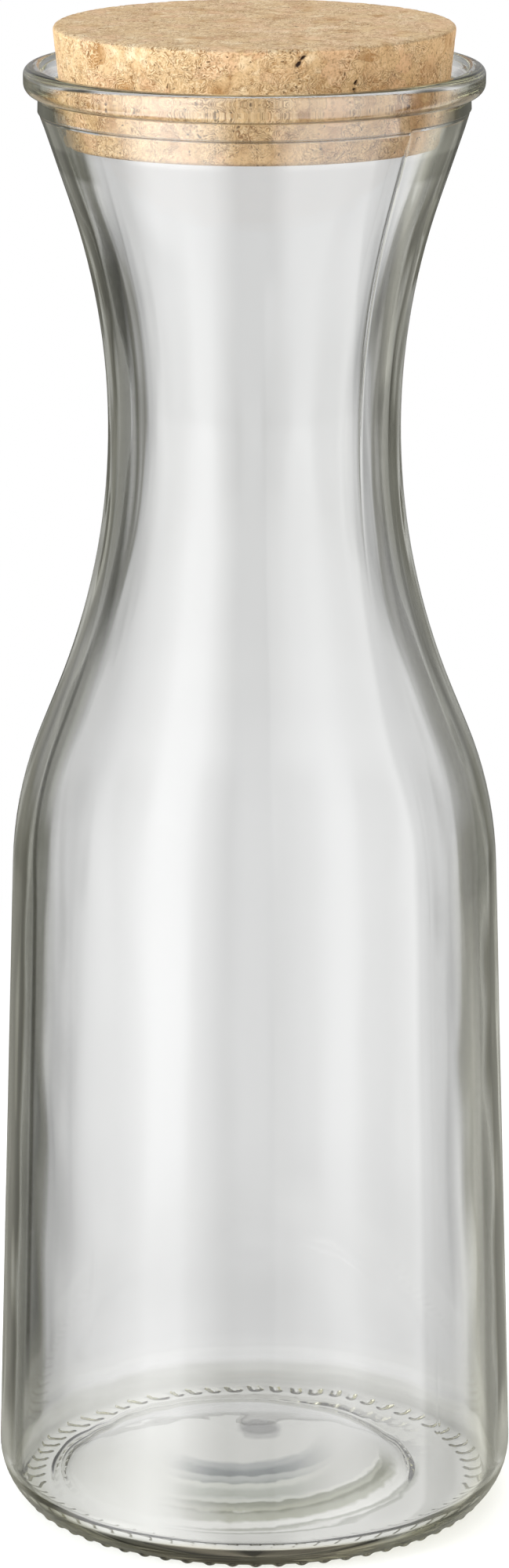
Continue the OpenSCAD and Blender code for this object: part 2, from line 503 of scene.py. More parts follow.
def glass_outline(shape):
    """Outline of the outside and of the inside of the glass, from the axis to the rim and back."""
    quarter = math.pi / 2
    foot = shape.knurl_height
    body = Vector((shape.body_radius, foot + 2 * shape.heel_cut)), quarter + shape.body_lean
    heel = Vector((at_height(body, foot) - shape.heel_cut, foot)), shape.heel_slope
    middle = Vector((shape.neck_radius + shape.neck_curve, shape.height - shape.mouth_height))
    shoulder = middle - shape.neck_curve * ray(shape.shoulder_lean), quarter + shape.shoulder_lean
    flare = middle - shape.neck_curve * ray(-shape.flare_lean), quarter - shape.flare_lean
    body_in, shoulder_in, flare_in = (moved_in(x, shape.wall) for x in (body, shoulder, flare))
    neck_cut = 1 / math.cos((shape.shoulder_lean + shape.flare_lean) / 2) - 1
    neck_in = shape.neck_curve + shape.wall - (shape.neck_wall - shape.wall) / neck_cut
    collar = shape.height - shape.finish_height
    rim = shape.height - shape.rim_height
    collar_radius = at_height(flare, collar) + shape.collar_step
    rim_radius = collar_radius + shape.rim_overhang
    mouth = at_height(flare_in, shape.height)
    foot_in = foot + FOOT_RISE
    pushup = foot_in + shape.pushup_step
    floor = pushup + shape.floor_wall
    dome_radius = shape.pushup_radius - STEP_WIDTH
    crest = (mouth + rim_radius) / 2
    outside = [
        (dome_radius, pushup, STEP_ROUND),
        (shape.pushup_radius, foot_in, STEP_ROUND),
        (shape.knurl_ring - shape.knurl_length / 2 - FOOT_WIDTH, foot, 0),
        (*heel[0], shape.foot_round),
        (*meet(heel, body), shape.heel_round),
        (*meet(body, shoulder), shape.shoulder_round),
        (*meet(shoulder, flare), shape.neck_curve),
        (at_height(flare, collar - GROOVE_WIDTH), collar - GROOVE_WIDTH, GROOVE_ROUND),
        (at_height(flare, collar) - GROOVE_DEPTH, collar, GROOVE_ROUND),
        (collar_radius + COLLAR_LIP, collar + COLLAR_LIP, COLLAR_ROUND),
        (collar_radius, rim - RIM_NECK, 0),
        (collar_radius, rim, RIM_FOOT_ROUND),
        (rim_radius, rim, RIM_LOW_ROUND),
        (rim_radius, shape.height, RIM_TOP_ROUND),
        (crest, shape.height, 0),
    ]
    inside = [
        (crest, shape.height, 0),
        (mouth, shape.height, RIM_IN_ROUND),
        (*meet(shoulder_in, flare_in), neck_in),
        (*meet(body_in, shoulder_in), shape.shoulder_round - shape.wall),
        (at_height(body_in, floor), floor, shape.floor_round),
        (dome_radius, floor, FLOOR_EDGE_ROUND),
    ]
    under = dome(dome_radius, pushup, shape.pushup_rise, DOME_ROWS)
    over = dome(dome_radius, floor, shape.pushup_rise, DOME_ROWS)
    # A dome's second point is what the round at its edge turns towards
    outside.insert(0, (*under[1], 0))
    inside.append((*over[1], 0))
    outer = under[:1:-1] + rounded(outside, TURN_STEP, ROW_SPACING)
    inner = rounded(inside, TURN_STEP, ROW_SPACING) + over[2:]
    return outer, inner


class Moulding:
    """Moves the points of the smooth glass to where moulding and knurling put them."""

    def __init__(self, shape, flow):
        self.shape, self.flow = shape, flow
        self.collar = shape.height - shape.finish_height
        self.heel = 2 * shape.heel_cut

    def knurl(self, radius, angle, height):
        """Height of the foot at a point, lowered where a knurl stands."""
        shape = self.shape
        pitch = FULL_TURN / shape.knurl_count
        off = angle - pitch * round(angle / pitch)
        across = Vector((radius * math.cos(off) - shape.knurl_ring, radius * math.sin(off)))
        turned = math.cos(shape.knurl_turn), math.sin(shape.knurl_turn)
        along = across.x * turned[0] + across.y * turned[1]
        side = across.y * turned[0] - across.x * turned[1]
        gap = math.hypot(max(abs(along) - shape.knurl_length / 2, 0), side)
        if gap >= shape.knurl_back:
            return height
        low = shape.knurl_back - KNURL_FLAT - math.sqrt(shape.knurl_back ** 2 - gap ** 2)
        low = max(low, 0.0)
        blend = max(KNURL_BLEND - abs(low - height), 0) / KNURL_BLEND
        return max(min(low, height) - blend * blend * KNURL_BLEND / 4, 0.0)

    def half(self, angle):
        """1 on the mould half to the right of the seam, 0 on the other."""
        return 1.0 if math.sin(angle - self.flow.seam_angle) > 0 else 0.0

    def seam(self, angle, radius, height):
        """Height of the seam at a point: full on the upper neck, faint on the body and behind."""
        flow = self.flow
        turn = math.remainder(angle - flow.seam_angle, math.pi)
        front = math.cos(angle - flow.seam_angle) > 0
        share = step(flow.seam_fade - SEAM_RISE, flow.seam_fade, height) if front else 0
        share = flow.seam_share + (1 - flow.seam_share) * share
        return share * flow.seam_height * math.exp(-((turn * radius / flow.seam_width) ** 2))

    def wave(self, angle, height, around, along, pattern):
        """One wave, from -1 to 1."""
        return noise.noise(Vector((
            around * math.cos(angle), around * math.sin(angle), height / along + pattern)))

    def waves(self, rows, angle, height):
        """A sum of waves, each times its share."""
        return sum(share * self.wave(angle, height, *row) for share, *row in rows)

    def push_up_shift(self, radius):
        """How far the push-up and the floor lie off the axis at a radius."""
        edge = self.shape.pushup_radius
        return -self.flow.baffle_shift * (1 - step(edge + BAFFLE_START, edge + BAFFLE_END, radius))

    def outside(self, point, angle):
        """Where a point of the smooth outside lies on the real glass."""
        radius, height = point
        shape, flow, heel = self.shape, self.flow, self.heel
        shift = 0.0
        if height < shape.knurl_back and radius > shape.pushup_radius:
            height = self.knurl(radius, angle, height)
        if height < shape.pushup_rise * 2 and radius < shape.knurl_ring:
            shift = self.push_up_shift(radius)
        if height > heel / 3:
            fade = step(self.collar, self.collar - COLLAR_FADE, height)
            radius += self.seam(angle, radius, height) * fade * step(heel / 3, heel, height)
            radius += flow.outer_wave * fade * self.waves(OUTER_WAVES, angle, height)
        near = abs(height - self.collar)
        if near < HALF_REACH:
            height += flow.half_shift * (self.half(angle) - 0.5) * (1 - near / HALF_REACH)
        return radius * math.cos(angle) + shift, radius * math.sin(angle), height

    def inside(self, point, angle):
        """Where a point of the smooth inside lies on the real glass."""
        radius, height = point
        shape, flow = self.shape, self.flow
        shift = 0.0
        rise = step(shape.floor_wall * 2, shape.floor_wall * 8, height)
        fade = rise * step(shape.height, shape.height - RIM_FADE, height)
        if fade:
            radius += flow.inner_wave * fade * self.waves(INNER_WAVES, angle, height)
        if height < shape.pushup_rise * 3:
            shift = self.push_up_shift(radius)
            height += FLOOR_WAVES * flow.inner_wave * (1 - rise) * self.wave(
                angle, radius, radius / FLOOR_WAVE_WIDTH, FLOOR_WAVE_LENGTH, FLOOR_WAVE_PATTERN)
            spot = math.hypot(
                radius * math.cos(angle) + shift - flow.gob_place, radius * math.sin(angle))
            height -= flow.gob_depth * math.exp(-((spot / flow.gob_radius) ** 2))
        return radius * math.cos(angle) + shift, radius * math.sin(angle), height


# Painted light on the glass floor: dark and bright rings that stand in for what the floor reflects
# and refracts, by distance from the middle: 1 is RING_SPAN in mm
RING_SPAN = 40
FLOOR_PLAIN, FLOOR_LIT_LEFT, FLOOR_HIGHLIGHT = (0.80, 0.80, 0.80), (0.98, 0.985, 0.98), (1.0, 1.0, 0.97)
GOB_SHADE = (0.38, 0.38, 0.385)
CLEAR = (1.0, 1.0, 1.0)
INNER_PAINTED_RINGS = (
    (0.36, FLOOR_PLAIN), (0.385, (0.34, 0.36, 0.38)), (0.475, (0.27, 0.29, 0.30)),
    (0.485, FLOOR_HIGHLIGHT), (0.503, FLOOR_HIGHLIGHT), (0.53, (0.58, 0.60, 0.57)),
    (0.62, (0.52, 0.54, 0.50)), (0.64, FLOOR_PLAIN))
OUTER_PAINTED_RINGS = (
    (0.638, FLOOR_PLAIN), (0.645, FLOOR_HIGHLIGHT), (0.656, FLOOR_HIGHLIGHT),
    (0.664, (0.24, 0.25, 0.19)), (0.712, (0.34, 0.35, 0.27)), (0.73, CLEAR), (0.80, CLEAR),
    (0.812, (0.24, 0.25, 0.21)), (0.828, (0.40, 0.41, 0.36)), (0.84, FLOOR_PLAIN))
# Where parts of the floor's painted light and shade start and end, in mm, and how uneven the
# painted rings are
FLOOR_HEIGHT, FLOOR_FRONT, FLOOR_LIT_SIDE = (13.0, 14.0), (-9.0, 4.0), (-26.0, 2.0)
INNER_LEFT, INNER_RIGHT = (-18.0, -7.0), (3.0, 17.0)
OUTER_LEFT, OUTER_START = (-19.0, -3.0), (25.3, 25.6)
GOB_EDGE = 3.0, 4.4
RING_WAVER, GOB_WAVER, WAVER_SCALE, WAVER_DETAIL = 1.6, 2.0, 0.35, 5.0
LEVEL = (1.0, 1.0, 0.0)

# The collar's painted shade line starts and ends at these distances from the collar in mm
LINE_LOW, LINE_HIGH = (-0.3, -0.16), (0.04, 0.16)

# Painted shade on glass that is seen at a grazing angle, which stands in for the dark edges that
# refraction and long paths through the glass give, by Layer Weight's Facing: 1 is edge on
GRAZED_WALL = (
    (0.45, CLEAR), (0.60, (0.88, 0.88, 0.80)), (0.625, (0.36, 0.36, 0.30)),
    (0.72, (0.36, 0.36, 0.30)), (0.76, (0.85, 0.85, 0.76)), (1.0, (0.95, 0.95, 0.87)))
GRAZED_BODY = (
    (0.44, CLEAR), (0.53, (0.62, 0.62, 0.57)), (0.75, (0.62, 0.62, 0.57)),
    (0.85, (0.8, 0.8, 0.77)), (1.0, (0.9, 0.9, 0.87)))
GRAZED_LINE = (
    (0.565, CLEAR), (0.58, (0.12, 0.12, 0.10)), (0.60, (0.12, 0.12, 0.10)), (0.615, CLEAR))
GRAZED_HEEL = (
    (0.48, CLEAR), (0.62, (0.50, 0.49, 0.40)), (0.75, (0.34, 0.34, 0.29)),
    (0.85, (0.20, 0.20, 0.16)), (1.0, (0.12, 0.12, 0.09)))
GRAZED_NECK = (
    (0.44, CLEAR), (0.48, (0.16, 0.16, 0.14)), (0.60, (0.16, 0.16, 0.14)), (0.65, CLEAR))
GRAZED_RIM = (0.45, CLEAR), (0.56, (0.35, 0.35, 0.29)), (1.0, (0.10, 0.10, 0.08))
GRAZED_INSIDE = (
    (0.56, CLEAR), (0.61, (0.60, 0.60, 0.57)), (0.68, (0.42, 0.42, 0.37)),
    (0.74, (0.36, 0.36, 0.31)), (0.80, (0.10, 0.10, 0.075)), (1.0, (0.08, 0.08, 0.06)))
# Where this painted shade starts and ends: heights in mm, then widths in mm and slopes
HEEL_END, LINE_START, BODY_LOW = (9.0, 13.0), (20.0, 40.0), (95.0, 125.0)
SHOULDER, FLARE_END = (150.0, 175.0), (228.0, 244.0)
RIM_START, INSIDE_END = (244.5, 246.0), (244.0, 250.0)
LINE_WIDTH, UPRIGHT, FLOOR_UP, HEEL_UP = (-20.0, 20.0), (0.45, 0.65), (0.5, 0.7), (-0.3, -0.1)
# What is left of the body's painted shade low down, and of the painted line at the right
BODY_LOW_SHARE, LINE_RIGHT_SHARE = 0.5, 0.25

# Where the stopper presses on the mouth, by height in mm and by Facing, and where the coat
# on collar and rim starts in mm, with its weight
CONTACT_LOW, CONTACT_HIGH, CONTACT_SLANT = (254.6, 255.2), (261.9, 262.4), (0.27, 0.33)
COAT_START, COAT = (249.3, 250.4), 0.65


class GlassPoint:
    """The point of the glass that is shaded: where it lies in mm, and which way it faces."""

    def __init__(self, tree):
        place = tree.add("ShaderNodeTexCoord", output="Object")
        self.mm = tree.vector("SCALE", place, scale=1 / MM)
        self.x, self.y, self.z = tree.numbers(self.mm)
        normal = tree.add("ShaderNodeTexCoord", output="Normal")
        self.up = tree.numbers(normal)[2]
        from_axis = tree.vector("MULTIPLY", self.mm, LEVEL)
        self.outward = tree.vector("DOT_PRODUCT", normal, from_axis, output="Value").above(0.0)
        self.upright = tree.fall(tree.maths("ABSOLUTE", self.up), *UPRIGHT)
        self.behind = tree.add("ShaderNodeNewGeometry", output="Backfacing")
        self.slant = tree.add("ShaderNodeLayerWeight", None, {"Blend": 0.5}, "Facing")


def floor_painted_light(tree, at, flow):
    """Painted light on the glass floor: dark and bright rings that stand in for its reflections
    and refractions, painted shade over the dimple, and a lighter left side where the light falls.
    """
    rough = tree.add("ShaderNodeTexNoise", None, {
        "Vector": at.mm, "Scale": WAVER_SCALE, "Detail": WAVER_DETAIL})

    def distance(from_x, waver):
        """Distance in mm from the upright line at from_x, a little uneven."""
        off = tree.vector("SUBTRACT", at.mm, (from_x / MM, 0.0, 0.0))
        level = tree.vector("MULTIPLY", off, LEVEL)
        return tree.vector("LENGTH", level, output="Value") + (rough - 0.5) * waver

    radius = distance(-flow.baffle_shift, RING_WAVER)
    # Painted shade that darkens the floor over the dimple
    dimple_shade = tree.fall(distance(flow.gob_place, GOB_WAVER), *GOB_EDGE)
    front = tree.fall(at.y, *FLOOR_FRONT)
    inner = front * tree.range(at.x, *INNER_LEFT) * tree.fall(at.x, *INNER_RIGHT)
    outer = front * tree.range(at.x, *OUTER_LEFT) * tree.range(radius, *OUTER_START)
    # Painted light: lighter on the left, then painted dark and bright rings at the front
    tone = tree.mix(tree.range(at.x, *FLOOR_LIT_SIDE), FLOOR_LIT_LEFT, FLOOR_PLAIN)
    tone = tree.mix(inner, tone, tree.ramp(radius / RING_SPAN, INNER_PAINTED_RINGS))
    tone = tree.mix(outer, tone, tree.ramp(radius / RING_SPAN, OUTER_PAINTED_RINGS))
    return tree.mix(dimple_shade, tone, GOB_SHADE)


def collar_shade_line(tree, at, shape, flow):
    """1 on the painted shade line under the collar, which lies higher on one half of the mould."""
    side = at.x * -math.sin(flow.seam_angle) + at.y * math.cos(flow.seam_angle)
    collar = shape.height - shape.finish_height - flow.half_shift / 2
    above = at.z - (side.above(0.0) * flow.half_shift + collar) / MM
    return tree.range(above, *LINE_LOW) * tree.fall(above, *LINE_HIGH)


def grazing_shade(tree, at, colour):
    """The colour made darker and more olive by painted shade where the glass is seen at a grazing
    angle.
    """
    wall = at.upright * at.outward
    body = wall * tree.fall(at.z, *SHOULDER)
    line = body * tree.range(at.x, *LINE_WIDTH, 1.0, LINE_RIGHT_SHARE)
    line = line * tree.range(at.z, *LINE_START)
    heel = at.outward * tree.fall(at.z, *HEEL_END) * tree.fall(at.up, *HEEL_UP)
    neck = at.outward * tree.range(at.z, *SHOULDER) * tree.fall(at.z, *FLARE_END)
    inside = at.upright * (1 - at.outward) * tree.fall(at.z, *INSIDE_END)
    zones = (
        (wall, GRAZED_WALL),
        (body * tree.range(at.z, *BODY_LOW, BODY_LOW_SHARE, 1.0), GRAZED_BODY),
        (line, GRAZED_LINE),
        (heel, GRAZED_HEEL),
        (neck, GRAZED_NECK),
        (at.outward * tree.range(at.z, *RIM_START), GRAZED_RIM),
        (inside, GRAZED_INSIDE),
    )
    for zone, stops in zones:
        colour = tree.mix(zone, colour, tree.ramp(at.slant, stops), "MULTIPLY")
    return colour


def glass_material(look, shape, flow):
    """Clear glass that is a little olive in its depth."""
    material = bpy.data.materials.new("clear_glass")
    tree = Tree(material)
    at = GlassPoint(tree)
    # The glass floor takes painted light and shade
    on_floor = tree.fall(at.z, *FLOOR_HEIGHT) * tree.range(at.up, *FLOOR_UP)
    colour = tree.mix(on_floor, tuple(look.colour), floor_painted_light(tree, at, flow))
    # Painted shade: a dark line under the collar
    colour = tree.mix(collar_shade_line(tree, at, shape, flow), colour, tuple(look.groove_shade))
    coat = (1 - at.behind) * at.outward * tree.range(at.z, *COAT_START, 0.0, COAT)
    # Painted shade where the glass is seen at a grazing angle
    glass = tree.add("ShaderNodeBsdfPrincipled", None, {
        "Base Color": grazing_shade(tree, at, colour), "Roughness": 0.0, "IOR": look.bend,
        "Transmission Weight": 1.0, "Coat Weight": coat, "Coat Roughness": 0.0, "Coat IOR": 1.5})
    clear = tree.add("ShaderNodeBsdfTransparent", None, {"Color": (*look.shade, 1)})
    dull = tree.add("ShaderNodeBsdfTransparent", None, {"Color": (*look.trapped, 1)})
    shadow, depth = tree.path("Is Shadow Ray", "Ray Depth")
    bent = tree.choose(depth.above(look.turns), glass, dull)
    # The stopper is pressed against the mouth, so no light turns back between them
    contact = at.behind * at.outward * tree.range(at.z, *CONTACT_LOW)
    contact = contact * tree.fall(at.z, *CONTACT_HIGH) * tree.fall(at.slant, *CONTACT_SLANT)
    surface = tree.choose(shadow, tree.choose(contact, bent, clear), clear)
    body = tree.add("ShaderNodeVolumeAbsorption", None, {
        "Color": (*look.depth_colour, 1), "Density": look.depth_density})
    tree.end(surface, body)
    return material


class BuildGlass(bpy.types.Operator):
    """Build the glass of the carafe."""
    bl_idname = "carafe.build_glass"
    bl_label = "Glass"

    def execute(self, context):
        scene = context.scene
        shape, flow = scene.carafe_shape, scene.carafe_flow
        outer, inner = glass_outline(shape)
        ring = shape.knurl_ring

        def spacing(point):
            close = point.y < KNURL_REACH and abs(point.x - ring) < KNURL_REACH
            return KNURL_SPACING if close else ROW_SPACING

        outer = spaced(outer, spacing)
        inner = spaced(inner, lambda point: ROW_SPACING)
        moulding = Moulding(shape, flow)
        outline = [(p, True) for p in outer] + [(p, False) for p in inner[1:]]

        def place(entry, angle):
            point, is_outside = entry
            if point.x < ON_AXIS:
                point = Vector((0.0, point.y))
            return moulding.outside(point, angle) if is_outside else moulding.inside(point, angle)

        angles = [FULL_TURN * i / flow.columns for i in range(flow.columns)]
        for side in (0, math.pi):
            for share in SEAM_COLUMNS:
                angle = flow.seam_angle + side + share * flow.seam_width / ring
                angles.append(angle % FULL_TURN)
        piece = lathe("glass_body", outline, sorted(set(angles)), place)
        piece.data.materials.append(glass_material(scene.glass_look, shape, flow))
        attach(piece, "carafe")
        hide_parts(GLASS_NODE)
        return {"FINISHED"}


# The cork's marks. Scales are changes in a millimetre, lengths are in mm, a warp is a scale
# and a reach, and a pair is where a mark starts and where it is full.
LARGE_WARP, SMALL_WARP, CURL_WARP = (0.2, 5.0), (0.8, 1.3), (0.8, 1.8)
LINE_GAP, LINE_DRIFT, LINE_KINDS, LINE_SCALE = 0.44, 3.4, 5.0, 1.0
LINE_EDGE, LINE_EDGE_SHARE = (0.5, 1.9), 0.12
PATCH_SCALE, PATCHES, PATCH_SHARE = 0.17, (0.36, 0.54), 0.15
BREAK_SCALE, BREAKS = 1.1, (0.36, 0.6)
# The second pair is the band of the painted highlight beside each growth line
DARK_BAND, HIGHLIGHT_BAND, CURL_BAND = (0.0, 0.22), (0.26, 0.44), (0.0, 0.16)
CURL_SCALE, CURL_DRIFT, CURL_KINDS, CURLED = 0.5, 13.0, 2.0, (0.46, 0.6)
GRAIN_SCALE, GRAIN_DETAIL, GRAIN_DARK, GRAIN_ROUGH = 2.4, 3.0, (0.46, 0.72), (0.3, 0.7)
SPECK_SCALE, SPECK_GRAIN, SPECK_SIZE = 0.8, 0.5, (0.36, 0.42)
SPECK_EDGE, SPECK_EDGE_SHARE = (0.3, 1.2), 0.15
SPECKLED_SCALE, SPECKLED = 0.3, (0.38, 0.5)
# A granule's tone: shares of its kind and of clouds of two scales, and where tones lie
TONE_KIND, TONE_LOW = 0.45, -0.74
TONE_CLOUDS = (0.14, 3.0, 1.1), (0.6, 2.0, 0.9)
TONE_DARK, TONE_MIDDLE, TONE_LIGHT = 0.1, (0.42, 0.66), 0.95
# The last pair on the next line is where painted shade on the top starts and is full, by the
# height of the normal
BLUSHED, JOINT_EDGE, HOLLOWED, TOP_SHADED = (0.62, 0.9), (0.0, 0.16), (0.25, 0.7), (0.1, 0.7)
# Shares of the marks in the colour, then their heights in the relief
BLUSH, LINE_HIGHLIGHTS, DARK_LINES, CURLS = 0.4, 0.65, 0.88, 0.52
JOINTS, GRAIN, SPECKS = 0.4, 0.45, 0.85
LINE_DEPTH, LINE_HEIGHT, CURL_DEPTH, SPECK_DEPTH, GRAIN_HEIGHT = -0.5, 0.2, -0.3, -1.0, 0.5
BUMP_STRENGTH, BUMP_DEPTH = 0.7, 0.22 * MM
CORK_ROUGHNESS, CORK_IOR = (0.68, 0.9), 1.4


def cork_material(look, granule):
    """Cork pressed from granules, each with its own tone and growth lines."""
    material = bpy.data.materials.new("pressed_cork")
    tree = Tree(material)
    mm = tree.vector("SCALE", tree.add("ShaderNodeTexCoord", output="Object"), scale=1 / MM)
    light, middle, dark = tuple(look.light), tuple(look.middle), tuple(look.dark)
    line = tuple(look.line)

    def cloud(scale, detail=2.0, at=mm, output=0):
        """Soft noise that changes scale times in a millimetre."""
        return tree.add("ShaderNodeTexNoise", None, {
            "Vector": at, "Scale": scale, "Detail": detail}, output)

    def warped(at, scale, reach):
        """Places moved about, by half of reach in mm at most."""
        drift = tree.vector("SUBTRACT", cloud(scale, 1.0, at, "Color"), (0.5, 0.5, 0.5))
        return tree.vector("ADD", at, tree.vector("SCALE", drift, scale=reach))

    bent = warped(warped(mm, *LARGE_WARP), *SMALL_WARP)

    def cells(scale, feature, output):
        """Cells with bent edges."""
        return tree.add("ShaderNodeTexVoronoi", {"feature": feature}, {
            "Vector": bent, "Scale": scale, "Randomness": 1.0}, output)

    chosen = cells(MM / granule, "F1", "Color")
    kind, turn, blush = tree.numbers(chosen, "ShaderNodeSeparateColor")
    edge = cells(MM / granule, "DISTANCE_TO_EDGE", "Distance") * (granule / MM)

    # Growth lines that run round the granules, close together and broken, each with a light band
    # beside it: a painted highlight on the line's raised edge, which the bump also raises
    phase = edge / LINE_GAP + cloud(LINE_SCALE) * LINE_DRIFT + kind * LINE_KINDS
    band = tree.maths("PINGPONG", phase, 0.5)
    wrinkled = tree.range(edge, *LINE_EDGE, 1.0, LINE_EDGE_SHARE)
    wrinkled = wrinkled * tree.range(cloud(PATCH_SCALE), *PATCHES, PATCH_SHARE, 1.0)
    broken = tree.range(cloud(BREAK_SCALE), *BREAKS)
    dark_line = tree.fall(band, *DARK_BAND) * wrinkled * broken
    # Painted highlight beside each growth line
    line_highlight = tree.range(band, *HIGHLIGHT_BAND) * wrinkled
    # Finer lines, laid another way
    curl = cloud(CURL_SCALE, 1.0, warped(mm, *CURL_WARP)) * CURL_DRIFT + turn * CURL_KINDS
    curl = tree.fall(tree.maths("PINGPONG", curl, 0.5), *CURL_BAND)
    curl = curl * tree.range(cloud(CURL_SCALE), *CURLED)
    # Grain and dark specks
    grain = cloud(GRAIN_SCALE, GRAIN_DETAIL)
    specks = tree.fall(cells(SPECK_SCALE, "F1", "Distance") + grain * SPECK_GRAIN, *SPECK_SIZE)
    specks = specks * tree.range(edge, *SPECK_EDGE, 1.0, SPECK_EDGE_SHARE)
    specks = specks * tree.range(cloud(SPECKLED_SCALE), *SPECKLED)
    hollow = tree.add("ShaderNodeAttribute", {"attribute_name": "hollow"}, None, "Fac")

    tone = kind * TONE_KIND
    for scale, detail, share in TONE_CLOUDS:
        tone = tone + cloud(scale, detail) * share
    base = tree.ramp(tone + TONE_LOW, [
        (TONE_DARK, dark), *((place, middle) for place in TONE_MIDDLE), (TONE_LIGHT, light)])
    layers = (
        (tree.range(blush, *BLUSHED) * BLUSH, tuple(look.blush)),
        (line_highlight * LINE_HIGHLIGHTS, light),
        (dark_line * DARK_LINES, line),
        (curl * CURLS, line),
        (tree.range(edge, *JOINT_EDGE, JOINTS, 0.0) * broken, line),
        (tree.range(grain, *GRAIN_DARK) * GRAIN, line),
        (specks * SPECKS, tuple(look.speck)),
        # Cracks: their dark inside is partly painted shade
        (tree.range(hollow, *HOLLOWED), tuple(look.hollow)),
    )
    for share, colour in layers:
        base = tree.mix(share, base, colour)
    # Painted shade on the upward faces of the top and on its edge
    up = tree.numbers(tree.add("ShaderNodeTexCoord", output="Normal"))[2]
    shaded = tree.mix(1.0, base, tuple(look.shaded), "MULTIPLY")
    base = tree.mix(tree.range(up, *TOP_SHADED), base, shaded)
    relief = (dark_line * LINE_DEPTH + line_highlight * LINE_HEIGHT + curl * CURL_DEPTH
              + specks * SPECK_DEPTH + grain * GRAIN_HEIGHT)
    bump = tree.add("ShaderNodeBump", None, {
        "Height": relief, "Strength": BUMP_STRENGTH, "Distance": BUMP_DEPTH})
    surface = tree.add("ShaderNodeBsdfPrincipled", None, {
        "Base Color": base, "Roughness": tree.range(grain, *GRAIN_ROUGH, *CORK_ROUGHNESS),
        "IOR": CORK_IOR, "Normal": bump})
    tree.end(surface)
    return material


class CorkSurface:
    """Puts the relief of pressed granules on the stopper."""

    def __init__(self, shape):
        self.shape = shape
        self.low, self.high = CORK_LOW[2], CORK_HIGH[2]

    def crack(self, spot, angle, height, length, width, slant):
        """Depth, from 0 to 1, of a crack in the side at a spot."""
        turn = math.remainder(math.atan2(spot.y, spot.x) - angle, FULL_TURN)
        across = turn * math.hypot(spot.x, spot.y)
        up = spot.z - (self.high - height)
        along = across * math.cos(slant) + up * math.sin(slant)
        off = across * math.sin(slant) - up * math.cos(slant)
        return max(0.0, 1 - (along / length) ** 2 - (off / width) ** 2)

    def hollow(self, spot):
        """Depth, from 0 to 1, of the cracks at a spot."""
        return max(
            self.crack(spot, math.radians(angle), height * MM, length * MM, width * MM,
                       math.radians(slant))
            for angle, height, length, width, slant in CRACKS)

    def place(self, point, angle):
        """Where a point of the smooth stopper lies on the real one."""
        radius, height = point
        shape = self.shape
        inward = Vector((math.cos(angle), math.sin(angle), 0.0))
        spot = Vector((radius * inward.x, radius * inward.y, height))
        if height < self.low + shape.edge:
            return spot
        cells = noise.voronoi(spot / shape.granule)[0]
        joint = max(0.0, 1 - (cells[1] - cells[0]) / JOINT_WIDTH)
        pore = max(0.0, noise.noise(spot / PORE_SIZE) - PORE_START)
        worn = 0.5 + 0.5 * noise.noise(spot / WORN_SIZE)
        depth = shape.relief * (JOINT_SHARE * joint + PORE_SHARE * pore + WORN_SHARE * worn)
        depth = max(depth, self.hollow(spot) * shape.crack_depth)
        on_top = step(self.high - shape.edge, self.high, height)
        return spot - (inward * (1 - on_top) + Vector((0, 0, on_top))) * depth


class BuildStopper(bpy.types.Operator):
    """Build the cork stopper."""
    bl_idname = "carafe.build_stopper"
    bl_label = "Stopper"

    def execute(self, context):
        scene = context.scene
        shape = scene.cork_shape
        low, high = CORK_LOW[2], CORK_HIGH[2]
        top_radius = CORK_HIGH[0]
        edge = shape.edge
        corners = [
            (0, low, 0), (shape.low_radius, low, edge), (top_radius, high, edge), (0, high, 0)]

        def spacing(point):
            if point.y < low + edge / 2:
                return CORK_UNDER_SPACING
            return CORK_TOP_SPACING if point.y > high - edge / 4 else CORK_SIDE_SPACING

        outline = spaced(rounded(corners, CORK_TURN_STEP, CORK_ROUND_SPACING), spacing)
        surface = CorkSurface(shape)
        angles = [FULL_TURN * i / shape.columns for i in range(shape.columns)]
        piece = lathe("cork_plug", outline, angles, surface.place)
        hollow = piece.data.attributes.new("hollow", "FLOAT", "POINT")
        for vertex, value in zip(piece.data.vertices, hollow.data):
            value.value = surface.hollow(vertex.co)
        piece.data.materials.append(cork_material(scene.cork_look, shape.granule))
        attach(piece, "stopper")
        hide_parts(CORK_NODE)
        return {"FINISHED"}


# Lamps: name, place and size in metres, power in watts, and colour
LAMPS = (
    ("left_lamp", (-1.25, -0.7, 0.75), (0.7, 1.0), 28, (0.90, 0.955, 1.0)),
    ("right_lamp", (1.15, -0.7, 0.7), (0.7, 1.0), 4.8, (1.0, 0.87, 0.63)),
    ("top_lamp", (-0.1, 0.2, 1.4), (1.0, 1.0), 7.6, (1.0, 1.0, 1.0)),
    ("back_lamp", (0.3, 1.3, 0.8), (0.9, 0.9), 6, (1.0, 1.0, 1.0)),
)
LAMPS_AIM = Vector((0, 0, 0.16))

# The studio as the glass mirrors it: brightness by direction, in degrees to the right of the
# camera's side, and by height, from 0 straight down to 1 straight up
MIRRORED = (
    (-180, 0.04), (-164, 0.07), (-150, 0.10), (-138, 0.07), (-122, 0.02), (-92, 0.03),
    (-70, 0.58), (-50, 1.0), (-34, 0.92), (-24, 0.60), (-11, 0.10), (8, 0.08), (9.5, 0.24),
    (24, 0.52), (44, 0.66), (66, 0.52), (81, 0.50), (84, 0.13), (92, 0.03), (100, 0.07),
    (110, 0.34), (123, 0.42), (133, 0.13), (148, 0.10), (160, 0.09), (180, 0.04))
MIRRORED_HEIGHTS = (0.02, 0.4), (0.1, 1.0), (0.85, 1.0), (1.0, 0.5)
